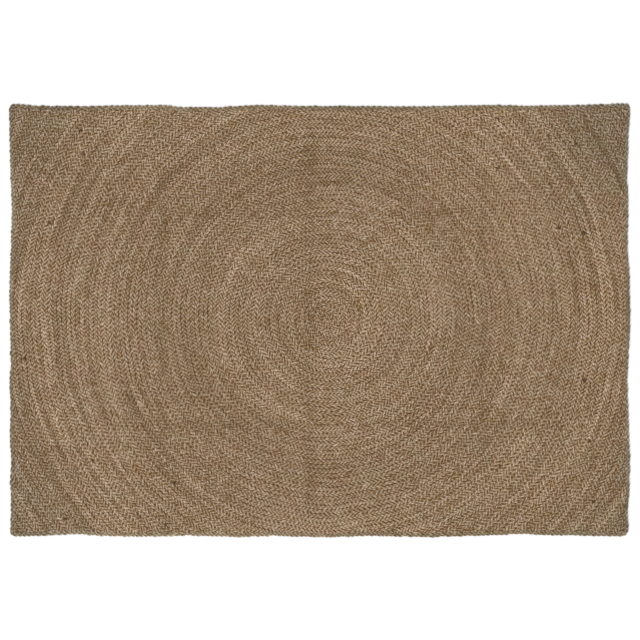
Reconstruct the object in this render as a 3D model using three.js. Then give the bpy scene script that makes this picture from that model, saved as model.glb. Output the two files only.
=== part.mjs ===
// A braided jute rug, lying flat: a panel of wound braid cut to a softly wavy rectangle,
// and one braid sewn round its edge. Millimetres, +X along the long side, +Z up.
import * as THREE from "three";

// Driving dimensions
const LENGTH = 2300;
const WIDTH = 1600;
const THICKNESS = 9;
const BORDER_WIDTH = 16.4;
const SEWN_GAP = 0.3;
const INNER_CORNER_RADIUS = 2;
const CORNER_STEPS = 6;

// The field is a little lower where it is pulled down against the border braid
const EDGE_DROP = 1.3;
const EDGE_DROP_WIDTH = 9;

// How often the outline and the field are divided
const STATION_PITCH = 58;
const CREASE_STATIONS = [-0.9, -0.45, 0, 0.45, 0.9];

// The border braid's section: depth in from the outer rim, and height above the floor
const BORDER_SECTION = [
  { depth: 2.6, height: 0 },
  { depth: BORDER_WIDTH - 1, height: 0 },
  { depth: BORDER_WIDTH, height: 1 },
  { depth: BORDER_WIDTH, height: 7.2 },
  { depth: 12.4, height: 8.6 },
  { depth: 8.2, height: THICKNESS },
  { depth: 4, height: 8.5 },
  { depth: 0.9, height: 6.4 },
  { depth: 0, height: 4.3 },
  { depth: 0.7, height: 2 },
];

// How far each side bulges out of its straight line, by the place along it
const LEFT_EDGE = [
  { along: -780, out: 1 },
  { along: -700, out: -2 },
  { along: -595, out: 0 },
  { along: -520, out: -2 },
  { along: -430, out: 2 },
  { along: -335, out: 0 },
  { along: -220, out: 3 },
  { along: -165, out: -1 },
  { along: 110, out: 3 },
  { along: 300, out: -2 },
  { along: 410, out: -5 },
  { along: 595, out: 1 },
  { along: 745, out: 5 },
];
const RIGHT_EDGE = [
  { along: -780, out: -3 },
  { along: -705, out: -3 },
  { along: -630, out: 2.5 },
  { along: -520, out: 3.7 },
  { along: -390, out: 0 },
  { along: -220, out: -5 },
  { along: 0, out: 5.5 },
  { along: 150, out: 3 },
  { along: 280, out: -5 },
  { along: 430, out: -2 },
  { along: 520, out: -5.5 },
  { along: 670, out: -1.5 },
  { along: 765, out: 4.5 },
];
const TOP_EDGE = [
  { along: -1120, out: 6 },
  { along: -1030, out: -0.5 },
  { along: -850, out: -1 },
  { along: -585, out: 2 },
  { along: -495, out: -5 },
  { along: -385, out: -5 },
  { along: -220, out: 2 },
  { along: 0, out: -1 },
  { along: 330, out: -2.3 },
  { along: 665, out: 2.6 },
  { along: 755, out: 0 },
  { along: 930, out: 2.3 },
  { along: 1065, out: 6 },
  { along: 1110, out: 8.5 },
];
const BOTTOM_EDGE = [
  { along: -1075, out: 1 },
  { along: -895, out: -5.5 },
  { along: -810, out: 0 },
  { along: -630, out: 3 },
  { along: -495, out: 0 },
  { along: -295, out: 4 },
  { along: -165, out: 0 },
  { along: 40, out: 5 },
  { along: 175, out: 0 },
  { along: 410, out: 4.5 },
  { along: 620, out: -1 },
  { along: 755, out: -6.5 },
  { along: 890, out: -2.5 },
  { along: 1110, out: 2 },
];

// Soft troughs left where the rug was folded for packing. An x crease runs along Y at that x,
// a y crease runs along X at that y. The trough fades out at both ends.
const CREASES = [
  { across: "x", at: -585, from: -560, to: 600, depth: 1.4, half: 26 },
  { across: "x", at: -34, from: -760, to: 780, depth: 2.2, half: 26 },
  { across: "x", at: 609, from: -450, to: 500, depth: 1.7, half: 26 },
  { across: "y", at: 402, from: -900, to: 800, depth: 1.3, half: 26 },
  { across: "y", at: -383, from: -700, to: 900, depth: 1.7, half: 26 },
];
const CREASE_FADE = 160;

const jute = new THREE.MeshStandardMaterial({
  color: 0x8e775d,
  roughness: 0.95,
  metalness: 0,
});
const weatheredJute = new THREE.MeshStandardMaterial({
  color: 0x8a7b66,
  roughness: 0.95,
  metalness: 0,
});

// The bulge of one side at a place along it, eased from row to row
function bulge(edge, along) {
  const next = edge.findIndex((row) => row.along >= along);
  if (next === 0) return edge[0].out;
  if (next < 0) return edge.at(-1).out;
  const before = edge[next - 1];
  const after = edge[next];
  const share = THREE.MathUtils.smoothstep(along, before.along, after.along);
  return THREE.MathUtils.lerp(before.out, after.out, share);
}

// Carries a point of the straight rectangle to its place in the wavy one
function wavy(x, y) {
  const fromLeft = THREE.MathUtils.clamp(x / LENGTH + 0.5, 0, 1);
  const fromBottom = THREE.MathUtils.clamp(y / WIDTH + 0.5, 0, 1);
  const moveX = THREE.MathUtils.lerp(-bulge(LEFT_EDGE, y), bulge(RIGHT_EDGE, y), fromLeft);
  const moveY = THREE.MathUtils.lerp(-bulge(BOTTOM_EDGE, x), bulge(TOP_EDGE, x), fromBottom);
  return new THREE.Vector2(x + moveX, y + moveY);
}

// How deep the packing creases press the field down at a place
function creaseDepth(x, y) {
  let deepest = 0;
  for (const crease of CREASES) {
    const [offLine, along] = crease.across === "x" ? [x - crease.at, y] : [y - crease.at, x];
    const trough = 1 - THREE.MathUtils.smoothstep(Math.abs(offLine), 0, crease.half);
    const begins = THREE.MathUtils.smoothstep(along, crease.from, crease.from + CREASE_FADE);
    const ends = 1 - THREE.MathUtils.smoothstep(along, crease.to - CREASE_FADE, crease.to);
    deepest = Math.max(deepest, crease.depth * trough * begins * ends);
  }
  return deepest;
}

// Evenly pitched places from -reach to reach, with closer ones over each crease that crosses
// and one where the field's drop beside the border begins
function stations(reach, across) {
  const steps = Math.round((2 * reach) / STATION_PITCH);
  const even = Array.from({ length: steps + 1 }, (_, i) => -reach + (2 * reach * i) / steps);
  const besideBorder = [-reach + EDGE_DROP_WIDTH, reach - EDGE_DROP_WIDTH];
  const crossing = CREASES.filter((crease) => crease.across === across);
  const close = crossing.flatMap((crease) =>
    CREASE_STATIONS.map((share) => crease.at + share * crease.half),
  );
  const clear = even.filter((place) =>
    crossing.every((crease) => Math.abs(place - crease.at) > 1.2 * crease.half),
  );
  return [...clear, ...close, ...besideBorder].sort((a, b) => a - b);
}

// Half sizes of the seam between field and border, and of its straight stretches
const seamX = LENGTH / 2 - BORDER_WIDTH;
const seamY = WIDTH / 2 - BORDER_WIDTH;
const straightX = seamX - INNER_CORNER_RADIUS;
const straightY = seamY - INNER_CORNER_RADIUS;
const columns = stations(straightX, "x");
const rows = stations(straightY, "y");

// A closed mesh from its corner points and the triangles between them
function solidGeometry(points, triangles) {
  const geometry = new THREE.BufferGeometry();
  geometry.setFromPoints(points);
  geometry.setIndex(triangles.flat());
  geometry.computeVertexNormals();
  return geometry;
}

// The border braid: its section carried along the four sides and round the four corners
function borderGeometry() {
  const path = [];
  const addCorner = (signX, signY, startAngle) => {
    for (let i = 0; i <= CORNER_STEPS; i++) {
      const angle = startAngle + (i / CORNER_STEPS) * (Math.PI / 2);
      path.push({ x: signX * straightX, y: signY * straightY, angle });
    }
  };
  const addSide = (places, toPoint) => {
    places.slice(1, -1).forEach((place) => path.push(toPoint(place)));
  };
  addCorner(1, -1, -Math.PI / 2);
  addSide(rows, (y) => ({ x: straightX, y, angle: 0 }));
  addCorner(1, 1, 0);
  addSide([...columns].reverse(), (x) => ({ x, y: straightY, angle: Math.PI / 2 }));
  addCorner(-1, 1, Math.PI / 2);
  addSide([...rows].reverse(), (y) => ({ x: -straightX, y, angle: Math.PI }));
  addCorner(-1, -1, Math.PI);
  addSide(columns, (x) => ({ x, y: -straightY, angle: -Math.PI / 2 }));

  const outerReach = BORDER_WIDTH + INNER_CORNER_RADIUS;
  const points = path.flatMap(({ x, y, angle }) =>
    BORDER_SECTION.map(({ depth, height }) => {
      const reach = outerReach - depth;
      const place = wavy(x + reach * Math.cos(angle), y + reach * Math.sin(angle));
      return new THREE.Vector3(place.x, place.y, height);
    }),
  );
  const around = BORDER_SECTION.length;
  const triangles = [];
  for (let i = 0; i < path.length; i++) {
    const here = i * around;
    const ahead = ((i + 1) % path.length) * around;
    for (let j = 0; j < around; j++) {
      const k = (j + 1) % around;
      triangles.push([here + j, here + k, ahead + k], [here + j, ahead + k, ahead + j]);
    }
  }
  return solidGeometry(points, triangles);
}

// The field: a grid of heights with the creases pressed in, walls down to the floor, and a flat back
function fieldGeometry() {
  const halfX = seamX - SEWN_GAP;
  const halfY = seamY - SEWN_GAP;
  const gridX = [-halfX, ...columns, halfX];
  const gridY = [-halfY, ...rows, halfY];
  const lastX = gridX.length - 1;
  const lastY = gridY.length - 1;
  const cornerPull = (INNER_CORNER_RADIUS - SEWN_GAP) * (1 - Math.SQRT1_2);

  // The point of the grid at a column and a row, with the four corners rounded off
  const plan = (i, j) => {
    const isCorner = (i === 0 || i === lastX) && (j === 0 || j === lastY);
    const pull = isCorner ? cornerPull : 0;
    return wavy(gridX[i] - Math.sign(gridX[i]) * pull, gridY[j] - Math.sign(gridY[j]) * pull);
  };
  const surface = (i, j) => {
    const inFromEdge = Math.min(halfX - Math.abs(gridX[i]), halfY - Math.abs(gridY[j]));
    const drop = EDGE_DROP * (1 - THREE.MathUtils.smoothstep(inFromEdge, 0, EDGE_DROP_WIDTH));
    return THICKNESS - drop - creaseDepth(gridX[i], gridY[j]);
  };

  const points = [];
  for (let j = 0; j <= lastY; j++)
    for (let i = 0; i <= lastX; i++) {
      const place = plan(i, j);
      points.push(new THREE.Vector3(place.x, place.y, surface(i, j)));
    }
  const at = (i, j) => j * (lastX + 1) + i;
  const triangles = [];
  for (let j = 0; j < lastY; j++)
    for (let i = 0; i < lastX; i++) {
      triangles.push([at(i, j), at(i + 1, j), at(i + 1, j + 1)]);
      triangles.push([at(i, j), at(i + 1, j + 1), at(i, j + 1)]);
    }

  // The rim, anticlockwise from the first corner, once at the surface and once on the floor
  const rim = [];
  for (let i = 0; i < lastX; i++) rim.push(at(i, 0));
  for (let j = 0; j < lastY; j++) rim.push(at(lastX, j));
  for (let i = lastX; i > 0; i--) rim.push(at(i, lastY));
  for (let j = lastY; j > 0; j--) rim.push(at(0, j));
  const firstFloor = points.length;
  const floorRim = rim.map((corner) => new THREE.Vector2(points[corner].x, points[corner].y));
  floorRim.forEach((corner) => points.push(new THREE.Vector3(corner.x, corner.y, 0)));
  rim.forEach((corner, n) => {
    const m = (n + 1) % rim.length;
    triangles.push([corner, firstFloor + n, firstFloor + m]);
    triangles.push([corner, firstFloor + m, rim[m]]);
  });
  THREE.ShapeUtils.triangulateShape(floorRim, []).forEach(([a, b, c]) =>
    triangles.push([firstFloor + a, firstFloor + c, firstFloor + b]),
  );
  return solidGeometry(points, triangles);
}

const field = new THREE.Mesh(fieldGeometry(), jute);
field.name = "braided_field";

const border = new THREE.Mesh(borderGeometry(), weatheredJute);
border.name = "border_braid";

// The origin is on the floor, under the middle of the rug
const sewn = new THREE.Group();
sewn.add(field, border);
const middle = new THREE.Box3().setFromObject(sewn).getCenter(new THREE.Vector3());
sewn.position.set(-middle.x, -middle.y, 0);

const rug = new THREE.Group();
rug.add(sewn);

export default rug;
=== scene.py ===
"""A braided jute rug lying flat: one long three-strand braid wound from the middle in two arms
and stitched row to row, cut to a softly wavy rectangle and edged with one more braid.

Lengths are millimetres up to the point where a mesh is made. Every Blender object is in metres.
The line down the middle of a braid is a row of complex numbers, x + yj.
"""

import math

import bmesh
import bpy
import numpy as np
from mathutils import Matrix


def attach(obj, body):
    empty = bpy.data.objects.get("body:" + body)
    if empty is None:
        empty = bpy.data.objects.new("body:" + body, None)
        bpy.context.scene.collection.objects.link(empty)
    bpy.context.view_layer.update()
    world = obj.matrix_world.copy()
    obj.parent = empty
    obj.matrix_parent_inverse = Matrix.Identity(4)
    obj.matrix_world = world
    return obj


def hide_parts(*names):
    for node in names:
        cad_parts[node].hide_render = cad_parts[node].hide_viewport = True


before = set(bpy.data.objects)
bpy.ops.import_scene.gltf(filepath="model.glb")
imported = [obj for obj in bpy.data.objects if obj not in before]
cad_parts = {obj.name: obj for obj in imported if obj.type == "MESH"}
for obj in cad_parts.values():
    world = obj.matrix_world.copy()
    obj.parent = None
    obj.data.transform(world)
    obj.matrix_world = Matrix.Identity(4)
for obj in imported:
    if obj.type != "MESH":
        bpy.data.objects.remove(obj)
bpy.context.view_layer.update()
MM = 0.001

# The rug, and how far and over what width its field comes down beside the border braid
LENGTH = 2300
WIDTH = 1600
THICKNESS = 9
BORDER_WIDTH = 16.4
EDGE_DROP = 0.8
EDGE_DROP_WIDTH = 9

# Half sizes of the seam between the wound field and the border braid
SEAM_X = LENGTH / 2 - BORDER_WIDTH
SEAM_Y = WIDTH / 2 - BORDER_WIDTH

# How far each side bulges out of its straight line: the place along it, and the bulge
LEFT_EDGE = (
    (-780, 1), (-700, -2), (-595, 0), (-520, -2), (-430, 2), (-335, 0), (-220, 3),
    (-165, -1), (110, 3), (300, -2), (410, -5), (595, 1), (745, 5),
)
RIGHT_EDGE = (
    (-780, -3), (-705, -3), (-630, 2.5), (-520, 3.7), (-390, 0), (-220, -5), (0, 5.5),
    (150, 3), (280, -5), (430, -2), (520, -5.5), (670, -1.5), (765, 4.5),
)
TOP_EDGE = (
    (-1120, 6), (-1030, -0.5), (-850, -1), (-585, 2), (-495, -5), (-385, -5), (-220, 2),
    (0, -1), (330, -2.3), (665, 2.6), (755, 0), (930, 2.3), (1065, 6), (1110, 8.5),
)
BOTTOM_EDGE = (
    (-1075, 1), (-895, -5.5), (-810, 0), (-630, 3), (-495, 0), (-295, 4), (-165, 0),
    (40, 5), (175, 0), (410, 4.5), (620, -1), (755, -6.5), (890, -2.5), (1110, 2),
)

# Soft troughs left by packing: the axis they cross, where, from, to, depth, half width
CREASES = (
    ("x", -585, -560, 600, 1.5, 34),
    ("x", -34, -790, 790, 1.6, 42),
    ("x", 609, -600, 640, 1.8, 34),
    ("y", 402, -760, 800, 1.3, 34),
    ("y", -383, -760, 900, 1.5, 34),
)
# How far in from its two ends a trough has its full depth
CREASE_FADE = 160

# How the field is wound: as a double spiral, whose first turns are eased apart
ROW_PITCH = 16.35
RING_CENTRE = 35 + 12j
CENTRE_EASE = 26
# How far past the rug's furthest corner the spiral goes on, before it is cut
SPIRAL_OVERRUN = 40
# How far the cut rows reach in under the border braid
FIELD_TUCK = 2.5
# From point to point of a braid's line
ROUTE_STEP = 1.0
# Where one mesh of the field ends and the next begins, as distances from the ring centre
BAND_RADII = (0, 320, 450, 550, 640, 720, 800, 930, 1090, 1500)

# How round the border braid's inner side is at the rug's corners, and the points in each turn
BORDER_INNER_RADIUS = 2
CORNER_POINTS = 16

# The two braids. A strand swings from side to side once a period, and rises and dips twice.
# Kink sharpens its turns at the sides, and gather draws its lobes together along the braid.
# ring_degrees are the places in one period where a strand gets a ring of points.
STRANDS = 3
FIELD_BRAID = {
    "period": 46.3,
    "swing": 6.3,
    "kink": 0.055,
    "gather": 0.8,
    "lift": 2.5,
    "width": 6.45,
    "height": 4.2,
    "sides": 4,
    "ring_degrees": (15, 45, 78, 135, 195, 225, 258, 315),
}
BORDER_BRAID = {
    "period": 54.6,
    "swing": 5.3,
    "kink": 0.055,
    "gather": 0.5,
    "lift": 2.4,
    "width": 6.8,
    "height": 4.2,
    "sides": 7,
    "ring_degrees": tuple(range(0, 360, 30)),
}

# How uneven hand-braided jute is, in millimetres or in shares of the whole. Rows wander together.
# Strands, lobes and rings of points stray to the side, rings slip along, and lobes swell.
PERIOD_VARIES = 0.16
PERIOD_VARIES_OVER = 65
WANDER = 2.9
WANDER_LENGTHS = (150, 420)
WANDER_WAVES = 7
STRAND_STRAYS = 0.35
STRAND_STRAYS_OVER = 45
LOBE_STRAYS = 0.7
LOBE_SWELLS = 0.12
RING_STRAYS = 0.4
RING_SLIPS = 0.8
WANDER_SEED = 29
FIELD_SEED = 11
BORDER_SEED = 17
# How many lobes a strand has ready past the end of its route
SPARE_LOBES = 8

# The thin stitched sheet inside the braids, where the rows and the strands meet, whose dark colour
# is painted shade in the gaps: how high it lies, and how far it stays in from the rug's edge and,
# more than that, from its corners
CORE_HEIGHT = 4.2
CORE_THICKNESS = 1
CORE_INSET = 5
CORE_CORNER_PULL = 5
# The pitch of its grid, and the closer places over a crease, in half widths from the crease's
# line, which take the place of the even ones as far out as that
STATION_PITCH = 58
CREASE_STATIONS = (-0.9, -0.45, 0, 0.45, 0.9)
CREASE_CLEAR = 1.2

# Tone runs from 0, the deepest shade, to 1. A strand is painted dark where it dives and painted
# bright where it rises, as painted shade and a painted highlight, and painted shade by height
# darkens its lower points. What makes whole rows and places paler or darker acts half on the tone,
# and half on the brightness of the colour that the tone gives.
TONE_DEEP = 0.435
PAINTED_HIGHLIGHT_RISEN = 0.235
# At what shares of its lift a strand's painted highlight begins, and is full
PAINTED_HIGHLIGHT_SHARES = (0.3, 1)
# How much paler painted shade by height makes a strand's higher points
PAINTED_SHADE_BY_HEIGHT = 0.19
# Between what heights the painted shade follows the height: 0 is half way up the rug, and 1 is its
# top
HEIGHTS_IN_PAINTED_SHADE = (-0.3, 1)
BRIGHTNESS_OF_TONE = 1.9
BRIGHTNESS_LIMITS = (0.2, 2)
# How much lobes, single rings of points, stretches of a strand and stretches of a row differ
TONE_OF_LOBE = 0.08
TONE_OF_RING = 0.08
TONE_OF_STRAND = 0.03
TONE_OF_STRAND_OVER = 260
TONE_OF_ROW = 0.05
TONE_OF_ROW_OVER = 260
# How much more the outer rows differ from one another, and the distances from the ring centre
# where that begins and where it is full
OUTER_ROWS_MORE = 0.6
OUTER_ROWS = (800, 1040)
# The painted shade for each millimetre of a crease's depth, and the tone of the last rows
PAINTED_CREASE_SHADE = -0.06
TONE_OF_LAST_ROWS = -0.02
# Broad paler and darker areas: x, y, how far they reach, the tone
AREAS = (
    (1000, 650, 420, -0.03), (-950, 60, 420, 0.05), (-800, -600, 380, 0.035),
    (0, -620, 520, 0.03), (0, 650, 420, -0.02), (850, -600, 380, 0.02),
    (750, 0, 300, -0.01), (-190, 10, 280, -0.035), (150, 20, 300, 0.03),
)
# The border braid is painted paler or darker on each side of the rug, as painted light and shade
# from the lower left
LEFT_PAINTED_LIGHT = 0
RIGHT_PAINTED_LIGHT = -0.055
TOP_PAINTED_LIGHT = -0.075
BOTTOM_PAINTED_LIGHT = 0.01
# Rings that were wound from paler or darker jute: the distance from the ring centre, the tone
RING_TONES = (
    (0, -0.02), (90, -0.01), (150, 0.025), (280, 0.025), (350, 0.04), (420, 0.04), (470, -0.01),
    (530, -0.03), (650, -0.015), (760, 0.005), (1000, 0.01), (1100, 0), (1200, -0.025),
)
# Short stretches of darker jute: the distance from the ring centre, from and to which angle in
# degrees, the half width of the stretch and its tone
DARK_ARCS = (
    (792, 198, 228, 14, -0.15),
    (792, 132, 162, 14, -0.13),
    (930, 2, 18, 15, -0.13),
    (495, 75, 100, 12, -0.08),
    (560, 232, 300, 18, -0.03),
)
# Over how many degrees such a stretch fades in and out
ARC_FADE = 4
# Dark knots in the yarn: x, y
KNOTS = (
    (-886, 707), (-875, 621), (-1008, 365), (664, 748), (854, 688), (668, 566), (954, 655),
    (891, 343), (988, 324), (668, -542), (999, -449), (1017, -672), (988, -222), (-845, -520),
    (-941, -739), (-540, -601), (-570, -754), (-1097, -140),
)
KNOT_SIZE = 6
TONE_OF_KNOT = -0.7

# How much greyer the jute is along the short edges, and in one area: x, y, how far it reaches
GREY_ENDS = 0.20
GREY_ENDS_REACH = 60
GREY_AREA = 0.5
GREY_AREA_PLACE = (1000, 640, 400)
# The last rows, which run across the corners, are greyer too: how much, and how far from the
# ring centre that begins and is full. It comes and goes by a share, in waves as long as this,
# which shift by a radian in each stretch of x.
GREY_ROWS = 0.55
LAST_ROWS = (1070, 1320)
LAST_ROWS_UNEVEN = 0.2
LAST_ROWS_WAVE = 95
LAST_ROWS_SHIFT = 130

# The colours of jute from its deepest shade to its lightest, by tone
FIELD_SHADES = (
    (0.0, (0.161, 0.066, 0.008)),
    (0.25, (0.229, 0.123, 0.043)),
    (0.5, (0.324, 0.211, 0.112)),
    (0.75, (0.424, 0.310, 0.204)),
    (1.0, (0.542, 0.428, 0.325)),
)
BORDER_SHADES = (
    (0.0, (0.094, 0.050, 0.012)),
    (0.25, (0.150, 0.095, 0.040)),
    (0.5, (0.229, 0.164, 0.091)),
    (0.75, (0.312, 0.239, 0.155)),
    (1.0, (0.417, 0.339, 0.241)),
)
# What turns the usual colour grey
GREY_CAST = (0.80, 0.88, 0.98)
# Greenish and pinkish patches: the value of the noise where each cast is full, and the cast, then
# how many patches there are to a metre and how finely they are broken up
CASTS = (
    (0.3, (0.97, 1.01, 0.98)),
    (0.7, (1.03, 0.985, 1.01)),
)
PATCHES_IN_METRE = 13
PATCH_DETAIL = 2.5

# Fibre streaks: how many there are to a millimetre along a strand, and to its half width across
# it, how finely they are broken up, and the length in which they go once round the strand
FIBRES_ALONG = 0.12
FIBRES_ACROSS = 2.2
FIBRE_DETAIL = 2
TWIST_LENGTH = 34
# How far the streaks change the tone and the roughness, how high they stand, and how much of
# that shows
FIBRE_TONE = 0.30
FIBRE_ROUGHNESS = (0.78, 0.98)
FIBRE_RELIEF = 0.4
FIBRE_RELIEF_SHARE = 0.6
JUTE_GLOSS = 0.08
JUTE_SHEEN = 0.03

# The core, whose dark colour is painted shade in the gaps between rows, and the floor a little
# below the rug
PLAIN_ROUGHNESS = 0.9
CORE_PAINTED_SHADE = (0.105, 0.053, 0.017)
FLOOR_SHADE = (0.97, 0.97, 0.97)
FLOOR_SIZE = 60000
FLOOR_GAP = 0.3

# The camera, straight above: how much of the rug's top face the frame shows, and where it aims
FRAME_WIDTH = 2377
LENS = 85
SENSOR = 36
AIM_X = 1.5
AIM_Y = 1.4

# Light from all round, and a broad lamp to one side: their strengths, and the lamp's degrees
STUDIO_LIGHT = 0.75
SIDE_LIGHT = 1.6
SIDE_LIGHT_SPREAD = 25
SIDE_LIGHT_TURN = (25, -35, 0)


def smoothstep(value, low, high):
    """Eases from 0 at the low value to 1 at the high one."""
    share = np.clip((value - low) / (high - low), 0, 1)
    return share * share * (3 - 2 * share)


def near(distance, reach):
    """Eases from 1 at no distance to 0 at the reach."""
    return 1 - smoothstep(distance, 0, reach)


def within(distance, half):
    """1 inside a half width and 0 outside it, with a soft edge."""
    return 1 - smoothstep(distance, half / 2, 1.5 * half)


def between(value, start, end, fade):
    """1 between two values and 0 outside them, fading in and out on the inside."""
    return smoothstep(value, start, start + fade) * (1 - smoothstep(value, end - fade, end))


def bulge(edge, along):
    """The bulge of one side at places along it, eased from row to row."""
    places = np.array([row[0] for row in edge], float)
    bulges = np.array([row[1] for row in edge], float)
    after = np.clip(np.searchsorted(places, along), 1, len(edge) - 1)
    share = smoothstep(along, places[after - 1], places[after])
    return bulges[after - 1] + share * (bulges[after] - bulges[after - 1])


def wavy(x, y):
    """Carries points of the straight rectangle to their places in the wavy one, centred."""
    from_left = np.clip(x / LENGTH + 0.5, 0, 1)
    from_bottom = np.clip(y / WIDTH + 0.5, 0, 1)
    left, right = bulge(LEFT_EDGE, y), bulge(RIGHT_EDGE, y)
    bottom, top = bulge(BOTTOM_EDGE, x), bulge(TOP_EDGE, x)
    moved_x = x - left + from_left * (right + left) - MIDDLE_X
    moved_y = y - bottom + from_bottom * (top + bottom) - MIDDLE_Y
    return moved_x, moved_y


def furthest(edge):
    """How far a side reaches out of its straight line."""
    return max(row[1] for row in edge)


# The middle of the wavy outline, which is the origin
MIDDLE_X = (furthest(RIGHT_EDGE) - furthest(LEFT_EDGE)) / 2
MIDDLE_Y = (furthest(TOP_EDGE) - furthest(BOTTOM_EDGE)) / 2


def crease_depth(x, y):
    """How deep the packing creases press the field down at places on it."""
    deepest = np.zeros_like(x)
    for across, at, start, end, depth, half in CREASES:
        off_line, along = (x - at, y) if across == "x" else (y - at, x)
        trough = near(np.abs(off_line), half) * between(along, start, end, CREASE_FADE)
        deepest = np.maximum(deepest, depth * trough)
    return deepest


def squeeze(x, y):
    """The share of its height that the field keeps in the creases and beside the border."""
    inward = np.minimum(SEAM_X - np.abs(x), SEAM_Y - np.abs(y))
    drop = EDGE_DROP * near(inward, EDGE_DROP_WIDTH)
    return (THICKNESS - drop - crease_depth(x, y)) / THICKNESS


def ring_distance(x, y):
    """How far places on the rug are from the ring centre."""
    return np.abs(x + 1j * y - RING_CENTRE)


def last_rows(x, y):
    """From 0 on most of the rug to 1 in the rows that run across its corners, in uneven bands."""
    distance = ring_distance(x, y)
    wave = np.sin(2 * math.pi * distance / LAST_ROWS_WAVE + x / LAST_ROWS_SHIFT)
    return smoothstep(distance, *LAST_ROWS) * (1 - LAST_ROWS_UNEVEN * (1 - wave))


def place_tone(x, y):
    """How much paler or darker the jute is at places, with painted crease shade and side light."""
    distance = ring_distance(x, y)
    degrees = np.degrees(np.angle(x + 1j * y - RING_CENTRE)) % 360
    rings = np.array(RING_TONES, float)
    tone = np.interp(distance, rings[:, 0], rings[:, 1])
    # Painted shade in the creases, by their depth
    tone += PAINTED_CREASE_SHADE * crease_depth(x, y) + TONE_OF_LAST_ROWS * last_rows(x, y)
    for radius, start, end, half, depth in DARK_ARCS:
        across = within(np.abs(distance - radius), half)
        tone += depth * across * between(degrees, start, end, ARC_FADE)
    for area_x, area_y, reach, depth in AREAS:
        tone += depth * near(np.hypot(x - area_x, y - area_y), reach)
    # Painted light and shade on each side of the border braid
    painted_light_on_end = np.where(x > 0, RIGHT_PAINTED_LIGHT, LEFT_PAINTED_LIGHT) * (np.abs(x) > SEAM_X)
    tone += np.where(np.abs(y) > SEAM_Y, np.where(y > 0, TOP_PAINTED_LIGHT, BOTTOM_PAINTED_LIGHT), painted_light_on_end)
    for knot_x, knot_y in KNOTS:
        tone += TONE_OF_KNOT * within(np.hypot(x - knot_x, y - knot_y), KNOT_SIZE)
    return tone


def row_contrast(x, y):
    """How much the rows differ from one another in tone at places on the rug."""
    return 1 + OUTER_ROWS_MORE * smoothstep(ring_distance(x, y), *OUTER_ROWS)


def greyness(x, y):
    """How far from the usual warm tan towards grey the jute is at places on the rug."""
    ends = GREY_ENDS * near(LENGTH / 2 - np.abs(x), GREY_ENDS_REACH)
    area_x, area_y, reach = GREY_AREA_PLACE
    area = GREY_AREA * near(np.hypot(x - area_x, y - area_y), reach)
    return np.clip(ends + area + GREY_ROWS * last_rows(x, y), 0, 1)


def wander(line):
    """Moves the rows sideways together by a few millimetres, as a hand guides them."""
    rng = np.random.default_rng(WANDER_SEED)
    moved = line.copy()
    for _ in range(WANDER_WAVES):
        heading = np.exp(1j * rng.uniform(0, 2 * math.pi))
        length = rng.uniform(*WANDER_LENGTHS)
        phase = rng.uniform(0, 2 * math.pi)
        push = WANDER / math.sqrt(WANDER_WAVES) * np.exp(1j * rng.uniform(0, 2 * math.pi))
        moved += push * np.sin(2 * math.pi * (line * heading.conj()).real / length + phase)
    return moved


def uneven(rng, length, over, amount):
    """A smooth random number for places along a length: the places, and their numbers."""
    knots = max(int(length / over), 2) + 2
    return np.linspace(0, length, knots), rng.normal(0, amount, knots)


class Route:
    """The line down the middle of a braid, by the distance and by the braid's turns along it."""

    def __init__(self, line, period, rng, laps=1):
        steps = np.abs(np.diff(line))
        self.line = line
        self.along = np.concatenate([[0], np.cumsum(steps)])
        self.length = self.along[-1]
        lap = self.length / laps
        ahead = np.gradient(line)
        self.left = 1j * ahead / np.abs(ahead)
        # The braid is tighter here and looser there, in the same way at both ends of a lap
        at, change = uneven(rng, lap, PERIOD_VARIES_OVER, PERIOD_VARIES)
        change[-1] = change[0]
        rate = 1 + np.interp(self.along % lap, at, change)
        turns = np.concatenate([[0], np.cumsum(steps * (rate[1:] + rate[:-1]) / 2)])
        self.turns = turns / turns[-1] * laps * round(lap / period)
        self.row_tone = uneven(rng, self.length, TONE_OF_ROW_OVER, TONE_OF_ROW)

    def place(self, along, aside):
        """Points in the plane, at distances along the route and to its left."""
        x = np.interp(along, self.along, self.line.real)
        y = np.interp(along, self.along, self.line.imag)
        left_x = np.interp(along, self.along, self.left.real)
        left_y = np.interp(along, self.along, self.left.imag)
        return x + aside * left_x, y + aside * left_y


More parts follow.
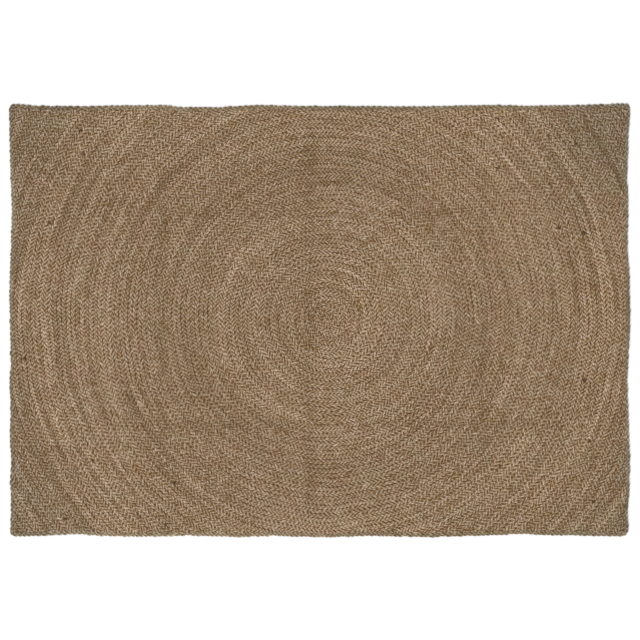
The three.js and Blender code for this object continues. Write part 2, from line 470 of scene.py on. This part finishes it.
class Strand:
    """One strand of a braid, with the unevenness of each of its lobes and rings."""

    def __init__(self, route, braid, number, rng):
        self.route, self.braid, self.number = route, braid, number
        self.degrees = np.array(braid["ring_degrees"], float)
        self.around = 2 * math.pi * np.arange(braid["sides"]) / braid["sides"]
        self.rings_in_lobe = len(self.degrees) // 2
        lobes = 2 * int(route.turns[-1]) + SPARE_LOBES
        rings = lobes * self.rings_in_lobe
        self.lobe_tone = rng.normal(0, TONE_OF_LOBE, lobes)
        self.lobe_strays = rng.normal(0, LOBE_STRAYS, lobes)
        self.lobe_swells = rng.normal(1, LOBE_SWELLS, lobes)
        self.ring_tone = rng.normal(0, TONE_OF_RING, rings)
        self.ring_strays = rng.normal(0, RING_STRAYS, rings)
        self.ring_slips = rng.normal(0, RING_SLIPS, rings)
        self.strand_tone = uneven(rng, route.length, TONE_OF_STRAND_OVER, TONE_OF_STRAND)
        self.strand_strays = uneven(rng, route.length, STRAND_STRAYS_OVER, STRAND_STRAYS)

    def ring_before(self, along):
        """The number of the last ring before a distance along the route."""
        turn = np.interp(along, self.route.along, self.route.turns) + self.number / STRANDS
        whole = math.floor(turn)
        rings_passed = int(np.searchsorted(self.degrees / 360, turn - whole))
        return whole * len(self.degrees) + rings_passed - 1

    def rings(self, first, last):
        """The strand's surface between two rings: its points, and their values for the finish."""
        number = np.arange(first, last + 1)
        turn = number // len(self.degrees) + self.degrees[number % len(self.degrees)] / 360
        middle = self.middle(number, turn)
        tone, brightness = self.tones(number, turn, *middle)
        along, aside, z = self.skin(number, turn, *middle)
        x, y = self.route.place(along, aside)
        # Painted shade by height: lower points darker, higher points paler
        tone = tone[:, None] + PAINTED_SHADE_BY_HEIGHT * np.clip(2 * z / THICKNESS - 1, *HEIGHTS_IN_PAINTED_SHADE)
        brightness = np.broadcast_to(brightness[:, None], along.shape)
        twisted = self.around + 2 * math.pi * along / TWIST_LENGTH
        fibre = np.stack([along, np.cos(twisted), np.sin(twisted)], -1)
        return np.stack([x, y, z], -1), tone, brightness, greyness(x, y), fibre

    def middle(self, number, turn):
        """Where the strand's middle is at each ring: along the route, and to its left."""
        phase = 2 * math.pi * turn
        lobe = number // self.rings_in_lobe
        kink = self.braid["kink"]
        along = np.interp(turn - self.number / STRANDS, self.route.turns, self.route.along)
        along += self.braid["gather"] * np.sin(4 * phase) + self.ring_slips[number]
        sideways = (np.sin(phase) - kink * np.sin(3 * phase)) / (1 + kink)
        aside = self.braid["swing"] * sideways + np.interp(along, *self.strand_strays)
        aside += self.lobe_strays[lobe] * np.sin(phase) + self.ring_strays[number]
        return along, aside

    def skin(self, number, turn, along, aside):
        """The points of each ring, square to the strand: along the route, to its left, and up."""
        phase = 2 * math.pi * turn
        swing, lift, kink = self.braid["swing"], self.braid["lift"], self.braid["kink"]
        # How fast the strand moves sideways and upwards as it goes along
        speed = 2 * math.pi / self.braid["period"]
        drift = swing * (np.cos(phase) - 3 * kink * np.cos(3 * phase)) / (1 + kink) * speed
        climb = 2 * lift * np.cos(2 * phase) * speed
        plan = np.hypot(1, drift)
        lean = climb / np.hypot(1, climb) / plan
        half_width = self.braid["width"] / 2 * self.lobe_swells[number // self.rings_in_lobe]
        out = np.sin(self.around) * half_width[:, None]
        up = np.cos(self.around) * self.braid["height"] / 2
        height = THICKNESS / 2 + lift * np.sin(2 * phase)
        skin_along = along[:, None] - out * (drift / plan)[:, None] - up * lean[:, None]
        skin_aside = aside[:, None] + out / plan[:, None]
        return skin_along, skin_aside, height[:, None] + up

    def tones(self, number, turn, along, aside):
        """Each ring's tone, before the height of its points counts, and its brightness."""
        # Painted shade where the strand dives, and a painted highlight where it has risen
        painted_highlight = smoothstep(np.sin(4 * math.pi * turn), *PAINTED_HIGHLIGHT_SHARES)
        lobe = number // self.rings_in_lobe
        x, y = self.route.place(along, aside)
        broad = np.interp(along, *self.route.row_tone) * row_contrast(x, y) + place_tone(x, y)
        brightness = np.clip(1 + BRIGHTNESS_OF_TONE * broad / 2, *BRIGHTNESS_LIMITS)
        tone = self.lobe_tone[lobe] + self.ring_tone[number] + np.interp(along, *self.strand_tone)
        return tone + broad / 2 + TONE_DEEP + PAINTED_HIGHLIGHT_RISEN * painted_highlight, brightness


class Yarn:
    """Gathers stretches of strand, and makes one mesh of them.

    The map of its surface, unrolled for baking, lays all the steps from ring to ring side by side
    in strips that are as long as the map is wide.
    """

    # A strand's way round, and a step from ring to ring, in millimetres
    ROUND = 18
    STEP = 5.8
    # What stays free beside each strip, where one side of the strand is 1 wide
    STRIP_MARGIN = 0.25

    def __init__(self, sides):
        self.sides = sides
        self.points, self.fibre = [], []
        self.values = {"tone": [], "brightness": [], "grey": []}
        self.faces, self.cells = [], []
        self.count = 0
        self.steps = 0

    def add(self, points, tone, brightness, grey, fibre, closed=False):
        """Adds one stretch: its rings of points, with their values, and the faces between them."""
        rings = len(points)
        index = self.count + np.arange(rings * self.sides).reshape(rings, self.sides)
        here = index if closed else index[:-1]
        ahead = np.roll(index, -1, 0) if closed else index[1:]
        quads = np.stack([here, ahead, np.roll(ahead, -1, 1), np.roll(here, -1, 1)], -1)
        self.add_faces(quads, np.arange(self.sides))
        if not closed:
            self.add_caps(index)
        self.points.append(points.reshape(-1, 3))
        for name, value in (("tone", tone), ("brightness", brightness), ("grey", grey)):
            self.values[name].append(value.ravel())
        self.fibre.append(fibre.reshape(-1, 3))
        self.count += rings * self.sides

    def add_faces(self, quads, side):
        """Adds faces, and their cells in the map: a step along the yarn, and a side of it."""
        step = self.steps + np.arange(len(quads))
        self.steps += len(quads)
        step, side = np.broadcast_arrays(step[:, None], side[None])
        self.faces.append(quads.reshape(-1, 4))
        self.cells.append(np.stack([step, side], -1).reshape(-1, 2))

    def add_caps(self, index):
        """Closes the two ends of a stretch of four-sided strand."""
        caps = np.stack([index[0], index[-1, ::-1]])
        self.add_faces(caps[:, None], np.zeros(1, int))

    def unrolled(self):
        """The place of each face's corners in the map."""
        step, side = np.concatenate(self.cells).T
        across = math.ceil(math.sqrt(self.steps * self.ROUND / self.STEP))
        strips = math.ceil(self.steps / across)
        share = self.sides + self.STRIP_MARGIN
        u = step % across
        v = (step // across) * share + side
        corners = np.array([(0, 0), (1, 0), (1, 1), (0, 1)])
        places = np.stack([u, v], -1)[:, None] + corners[None]
        return places / np.array([across, strips * share])

    def mesh(self, name):
        points = np.concatenate(self.points) * MM
        quads = np.concatenate(self.faces)
        mesh = bpy.data.meshes.new(name)
        mesh.vertices.add(len(points))
        mesh.vertices.foreach_set("co", points.ravel())
        mesh.loops.add(quads.size)
        mesh.loops.foreach_set("vertex_index", quads.ravel())
        mesh.polygons.add(len(quads))
        mesh.polygons.foreach_set("loop_start", np.arange(0, quads.size, 4))
        mesh.polygons.foreach_set("use_smooth", np.ones(len(quads), bool))
        for finish, values in self.values.items():
            attribute = mesh.attributes.new(finish, "FLOAT", "POINT")
            attribute.data.foreach_set("value", np.concatenate(values).astype(np.float32))
        fibre = mesh.attributes.new("fibre", "FLOAT_VECTOR", "POINT")
        fibre.data.foreach_set("vector", np.concatenate(self.fibre).astype(np.float32).ravel())
        bake_map = mesh.uv_layers.new(name="OFBake")
        bake_map.data.foreach_set("uv", self.unrolled().astype(np.float32).ravel())
        mesh.update()
        mesh.validate()
        return mesh


def add_piece(name, mesh, material):
    """A piece of the rug, in its one material."""
    piece = bpy.data.objects.new(name, mesh)
    bpy.context.scene.collection.objects.link(piece)
    mesh.materials.append(material)
    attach(piece, "root")
    return piece


def points_of(mesh):
    """The x, y and z of a mesh's points, in millimetres."""
    points = np.empty(len(mesh.vertices) * 3)
    mesh.vertices.foreach_get("co", points)
    return points.reshape(-1, 3).T / MM


def move_points(mesh, x, y, z):
    """Moves a mesh's points to places in millimetres."""
    mesh.vertices.foreach_set("co", (np.stack([x, y, z], -1) * MM).ravel())
    mesh.update()


def spiral_line():
    """The wound braid's line: in along one arm to the middle, and out along the other."""
    growth = ROW_PITCH / math.pi
    corner = math.hypot(SEAM_X + abs(RING_CENTRE.real), SEAM_Y + abs(RING_CENTRE.imag))
    last = (corner + SPIRAL_OVERRUN) / growth
    count = int(growth * last * last / 2 / ROUTE_STEP)
    angle = last * np.sqrt(np.linspace(0, 1, count))
    radius = np.sqrt((growth * angle) ** 2 + CENTRE_EASE * angle)
    arm = radius * np.exp(1j * angle)
    return np.concatenate([-arm[:0:-1], arm])


def cut_at_seam(mesh):
    """Cuts a mesh of the field square along its four sides, and closes the cuts."""
    work = bmesh.new()
    work.from_mesh(mesh)
    for axis, reach in ((0, SEAM_X), (1, SEAM_Y)):
        for sign in (-1, 1):
            point, normal = [0, 0, 0], [0, 0, 0]
            point[axis] = sign * (reach + FIELD_TUCK) * MM
            normal[axis] = sign
            everything = work.verts[:] + work.edges[:] + work.faces[:]
            cut = bmesh.ops.bisect_plane(
                work, geom=everything, plane_co=point, plane_no=normal, clear_outer=True
            )
            rim = [part for part in cut["geom_cut"] if isinstance(part, bmesh.types.BMEdge)]
            bmesh.ops.holes_fill(work, edges=rim)
    work.to_mesh(mesh)
    work.free()


def stretches(wanted):
    """Where each stretch of wanted points begins, and where it is over."""
    changes = np.diff(np.concatenate([[0], wanted.astype(int), [0]]))
    return np.flatnonzero(changes).reshape(-1, 2)


def wind_field(material):
    """The wound braid, as one mesh for each band of rows."""
    from_centre = spiral_line()
    distance = np.abs(from_centre)
    rng = np.random.default_rng(FIELD_SEED)
    route = Route(wander(RING_CENTRE + from_centre), FIELD_BRAID["period"], rng)
    strands = [Strand(route, FIELD_BRAID, number, rng) for number in range(STRANDS)]
    # The rows run to the rug's edge here, and are cut at the seam afterwards
    inside = (np.abs(route.line.real) < LENGTH / 2) & (np.abs(route.line.imag) < WIDTH / 2)
    pieces = []
    for number, (inner, outer) in enumerate(zip(BAND_RADII, BAND_RADII[1:]), 1):
        yarn = Yarn(FIELD_BRAID["sides"])
        for start, end in stretches(inside & (distance >= inner) & (distance < outer)):
            end = min(end, len(route.along) - 1)
            for strand in strands:
                first = strand.ring_before(route.along[start])
                last = strand.ring_before(route.along[end])
                if last > first:
                    yarn.add(*strand.rings(first, last))
        mesh = yarn.mesh(f"field_braid_{number}")
        # Only the outer bands reach the seam
        if outer > SEAM_Y - abs(RING_CENTRE.imag):
            cut_at_seam(mesh)
        x, y, z = points_of(mesh)
        move_points(mesh, *wavy(x, y), z * squeeze(x, y))
        pieces.append(add_piece(mesh.name, mesh, material))
    return pieces


def border_lap():
    """The border braid's own line, once round the rug, in the straight rectangle."""
    half = BORDER_WIDTH / 2
    radius = half + BORDER_INNER_RADIUS
    x = LENGTH / 2 - half - radius
    y = WIDTH / 2 - half - radius
    corners = ((x, -y, -90), (x, y, 0), (-x, y, 90), (-x, -y, 180))
    line = []
    for corner_x, corner_y, start in corners:
        angle = np.radians(np.linspace(start, start + 90, CORNER_POINTS))
        line.append(corner_x + 1j * corner_y + radius * np.exp(1j * angle))
    clockwise = np.concatenate(line)[::-1]
    line = np.append(clockwise, clockwise[0])
    along = np.concatenate([[0], np.cumsum(np.abs(np.diff(line)))])
    at = np.linspace(0, along[-1], int(along[-1] / ROUTE_STEP), endpoint=False)
    return np.interp(at, along, line.real) + 1j * np.interp(at, along, line.imag)


def sew_border(material):
    """The border braid, which ends where it begins."""
    lap = border_lap()
    # A lap before and a lap after let the strands run on where the lap closes
    laps = 3
    line = np.append(np.tile(lap, laps), lap[0])
    rng = np.random.default_rng(BORDER_SEED)
    route = Route(line, BORDER_BRAID["period"], rng, laps)
    rings = round(route.turns[-1] / laps) * len(BORDER_BRAID["ring_degrees"])
    yarn = Yarn(BORDER_BRAID["sides"])
    for number in range(STRANDS):
        strand = Strand(route, BORDER_BRAID, number, rng)
        yarn.add(*strand.rings(rings, 2 * rings - 1), closed=True)
    mesh = yarn.mesh("border_strands")
    x, y, z = points_of(mesh)
    move_points(mesh, *wavy(x, y), z)
    piece = add_piece(mesh.name, mesh, material)
    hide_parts("border_braid")
    return piece


def stations(reach, across):
    """Places from -reach to reach, closer over each crease."""
    crossing = [(at, half) for axis, at, _, _, _, half in CREASES if axis == across]
    even = np.linspace(-reach, reach, round(2 * reach / STATION_PITCH) + 1)
    clear = [x for x in even if all(abs(x - at) > CREASE_CLEAR * half for at, half in crossing)]
    close = [at + share * half for at, half in crossing for share in CREASE_STATIONS]
    return np.sort(np.array(clear + close))


def make_core(material):
    """The stitched middle of the rug: a thin sheet inside the braids, which shows as painted
    shade.
    """
    half_x = LENGTH / 2 - CORE_INSET
    half_y = WIDTH / 2 - CORE_INSET
    x, y = np.meshgrid(stations(half_x, "x"), stations(half_y, "y"))
    height = CORE_HEIGHT * squeeze(np.clip(x, -SEAM_X, SEAM_X), np.clip(y, -SEAM_Y, SEAM_Y))
    corner = (np.abs(x) == half_x) & (np.abs(y) == half_y)
    pull = np.where(corner, CORE_CORNER_PULL, 0)
    x, y = wavy(x - np.sign(x) * pull, y - np.sign(y) * pull)
    points = np.stack([x, y, height], -1).reshape(-1, 3) * MM
    index = np.arange(x.size).reshape(x.shape)
    quads = np.stack([index[:-1, :-1], index[:-1, 1:], index[1:, 1:], index[1:, :-1]], -1)
    mesh = bpy.data.meshes.new("field_core")
    mesh.from_pydata(points.tolist(), [], quads.reshape(-1, 4).tolist())
    mesh.update()
    piece = add_piece("field_core", mesh, material)
    thicken = piece.modifiers.new("thickness", "SOLIDIFY")
    thicken.thickness = CORE_THICKNESS * MM
    thicken.offset = 0
    bpy.context.view_layer.objects.active = piece
    bpy.ops.object.modifier_apply(modifier=thicken.name)
    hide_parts("braided_field")
    return piece


def set_inputs(material, node, inputs):
    """Gives each input its number or colour, or links it to another node's output."""
    for name, value in inputs.items():
        if isinstance(value, bpy.types.NodeSocket):
            material.node_tree.links.new(value, node.inputs[name])
        else:
            node.inputs[name].default_value = value


def add_node(material, kind, inputs, **settings):
    """A new node of the material, with its settings and its inputs."""
    node = material.node_tree.nodes.new(kind)
    for setting, value in settings.items():
        setattr(node, setting, value)
    set_inputs(material, node, inputs)
    return node


def held(material, name):
    """One of the numbers that the strands' points hold."""
    return add_node(material, "ShaderNodeAttribute", {}, attribute_name=name).outputs["Fac"]


def ramp(material, value, stops):
    """A colour for each value, mixed from the stops below and above it."""
    node = add_node(material, "ShaderNodeValToRGB", {"Fac": value})
    elements = node.color_ramp.elements
    for position, _ in stops[1:-1]:
        elements.new(position)
    for element, (position, colour) in zip(elements, stops):
        element.position = position
        element.color = (*colour, 1)
    return node.outputs["Color"]


def multiplied(material, colour, by, share):
    """A colour multiplied by another, wholly or by a share."""
    inputs = {"A": colour, "B": by, "Factor": share}
    kind = {"data_type": "RGBA", "blend_type": "MULTIPLY"}
    return add_node(material, "ShaderNodeMix", inputs, **kind).outputs["Result"]


def fibre_streaks(material):
    """Noise drawn out along the fibres, which go round a strand as it is twisted."""
    fibre = add_node(material, "ShaderNodeAttribute", {}, attribute_name="fibre")
    scale = (FIBRES_ALONG, FIBRES_ACROSS, FIBRES_ACROSS)
    inputs = {"Vector": fibre.outputs["Vector"], "Scale": scale}
    drawn_out = add_node(material, "ShaderNodeMapping", inputs)
    inputs = {"Vector": drawn_out.outputs["Vector"], "Scale": 1, "Detail": FIBRE_DETAIL}
    return add_node(material, "ShaderNodeTexNoise", inputs).outputs["Fac"]


def streaked_shade(material, streaks, shades):
    """The shade for each point's tone, which the streaks raise and lower."""
    inputs = {0: held(material, "tone"), 1: FIBRE_TONE / 2}
    lowered = add_node(material, "ShaderNodeMath", inputs, operation="SUBTRACT")
    inputs = {0: streaks, 1: FIBRE_TONE, 2: lowered.outputs["Value"]}
    streaked = add_node(material, "ShaderNodeMath", inputs, operation="MULTIPLY_ADD")
    return ramp(material, streaked.outputs["Value"], shades)


def cast_patches(material):
    """Soft patches of a greenish and a pinkish cast."""
    place = add_node(material, "ShaderNodeTexCoord", {})
    inputs = {
        "Vector": place.outputs["Object"],
        "Scale": PATCHES_IN_METRE,
        "Detail": PATCH_DETAIL,
    }
    patches = add_node(material, "ShaderNodeTexNoise", inputs)
    return ramp(material, patches.outputs["Fac"], CASTS)


def jute(name, shades):
    """Jute: a shade for each tone, with streaks along the fibres, which also stand up a little."""
    material = bpy.data.materials.new(name)
    material.use_nodes = True
    streaks = fibre_streaks(material)
    shade = streaked_shade(material, streaks, shades)
    inputs = {"Color": shade, "Value": held(material, "brightness")}
    lit = add_node(material, "ShaderNodeHueSaturation", inputs)
    patched = multiplied(material, lit.outputs["Color"], cast_patches(material), 1)
    greyed = multiplied(material, patched, (*GREY_CAST, 1), held(material, "grey"))
    smooth, rough = FIBRE_ROUGHNESS
    inputs = {"Value": streaks, "To Min": smooth, "To Max": rough}
    roughness = add_node(material, "ShaderNodeMapRange", inputs)
    inputs = {"Height": streaks, "Strength": FIBRE_RELIEF_SHARE, "Distance": FIBRE_RELIEF * MM}
    relief = add_node(material, "ShaderNodeBump", inputs)
    inputs = {
        "Base Color": greyed,
        "Roughness": roughness.outputs["Result"],
        "Normal": relief.outputs["Normal"],
        "Specular IOR Level": JUTE_GLOSS,
        "Sheen Weight": JUTE_SHEEN,
    }
    set_inputs(material, material.node_tree.nodes["Principled BSDF"], inputs)
    return material


def plain(name, colour):
    """A plain dull finish, for the core and the floor."""
    material = bpy.data.materials.new(name)
    material.use_nodes = True
    inputs = {"Base Color": (*colour, 1), "Roughness": PLAIN_ROUGHNESS}
    set_inputs(material, material.node_tree.nodes["Principled BSDF"], inputs)
    return material


def set_camera():
    data = bpy.data.cameras.new("camera")
    data.lens = LENS
    data.sensor_width = SENSOR
    camera = bpy.data.objects.new("camera", data)
    bpy.context.scene.collection.objects.link(camera)
    camera.location = (AIM_X * MM, AIM_Y * MM, (THICKNESS + FRAME_WIDTH * LENS / SENSOR) * MM)
    bpy.context.scene.camera = camera


def light_scene():
    world = bpy.data.worlds.new("studio")
    bpy.context.scene.world = world
    world.use_nodes = True
    background = world.node_tree.nodes["Background"]
    background.inputs["Color"].default_value = (1, 1, 1, 1)
    background.inputs["Strength"].default_value = STUDIO_LIGHT
    lamp = bpy.data.lights.new("side_light", "SUN")
    lamp.energy = SIDE_LIGHT
    lamp.angle = math.radians(SIDE_LIGHT_SPREAD)
    sun = bpy.data.objects.new("side_light", lamp)
    bpy.context.scene.collection.objects.link(sun)
    sun.rotation_euler = [math.radians(degrees) for degrees in SIDE_LIGHT_TURN]


def lay_floor():
    bpy.ops.mesh.primitive_plane_add(size=FLOOR_SIZE * MM, location=(0, 0, -FLOOR_GAP * MM))
    floor = bpy.context.object
    floor.name = "floor"
    floor.data.materials.append(plain("pale_floor", FLOOR_SHADE))


set_camera()
field_jute = jute("field_jute", FIELD_SHADES)
border_jute = jute("border_jute", BORDER_SHADES)
# The core's dark colour is painted shade between the rows and strands
core_painted_shade = plain("core_painted_shade", CORE_PAINTED_SHADE)
core = make_core(core_painted_shade)
braids = wind_field(field_jute)
border = sew_border(border_jute)
light_scene()
lay_floor()
bpy.context.scene.view_settings.view_transform = "Standard"
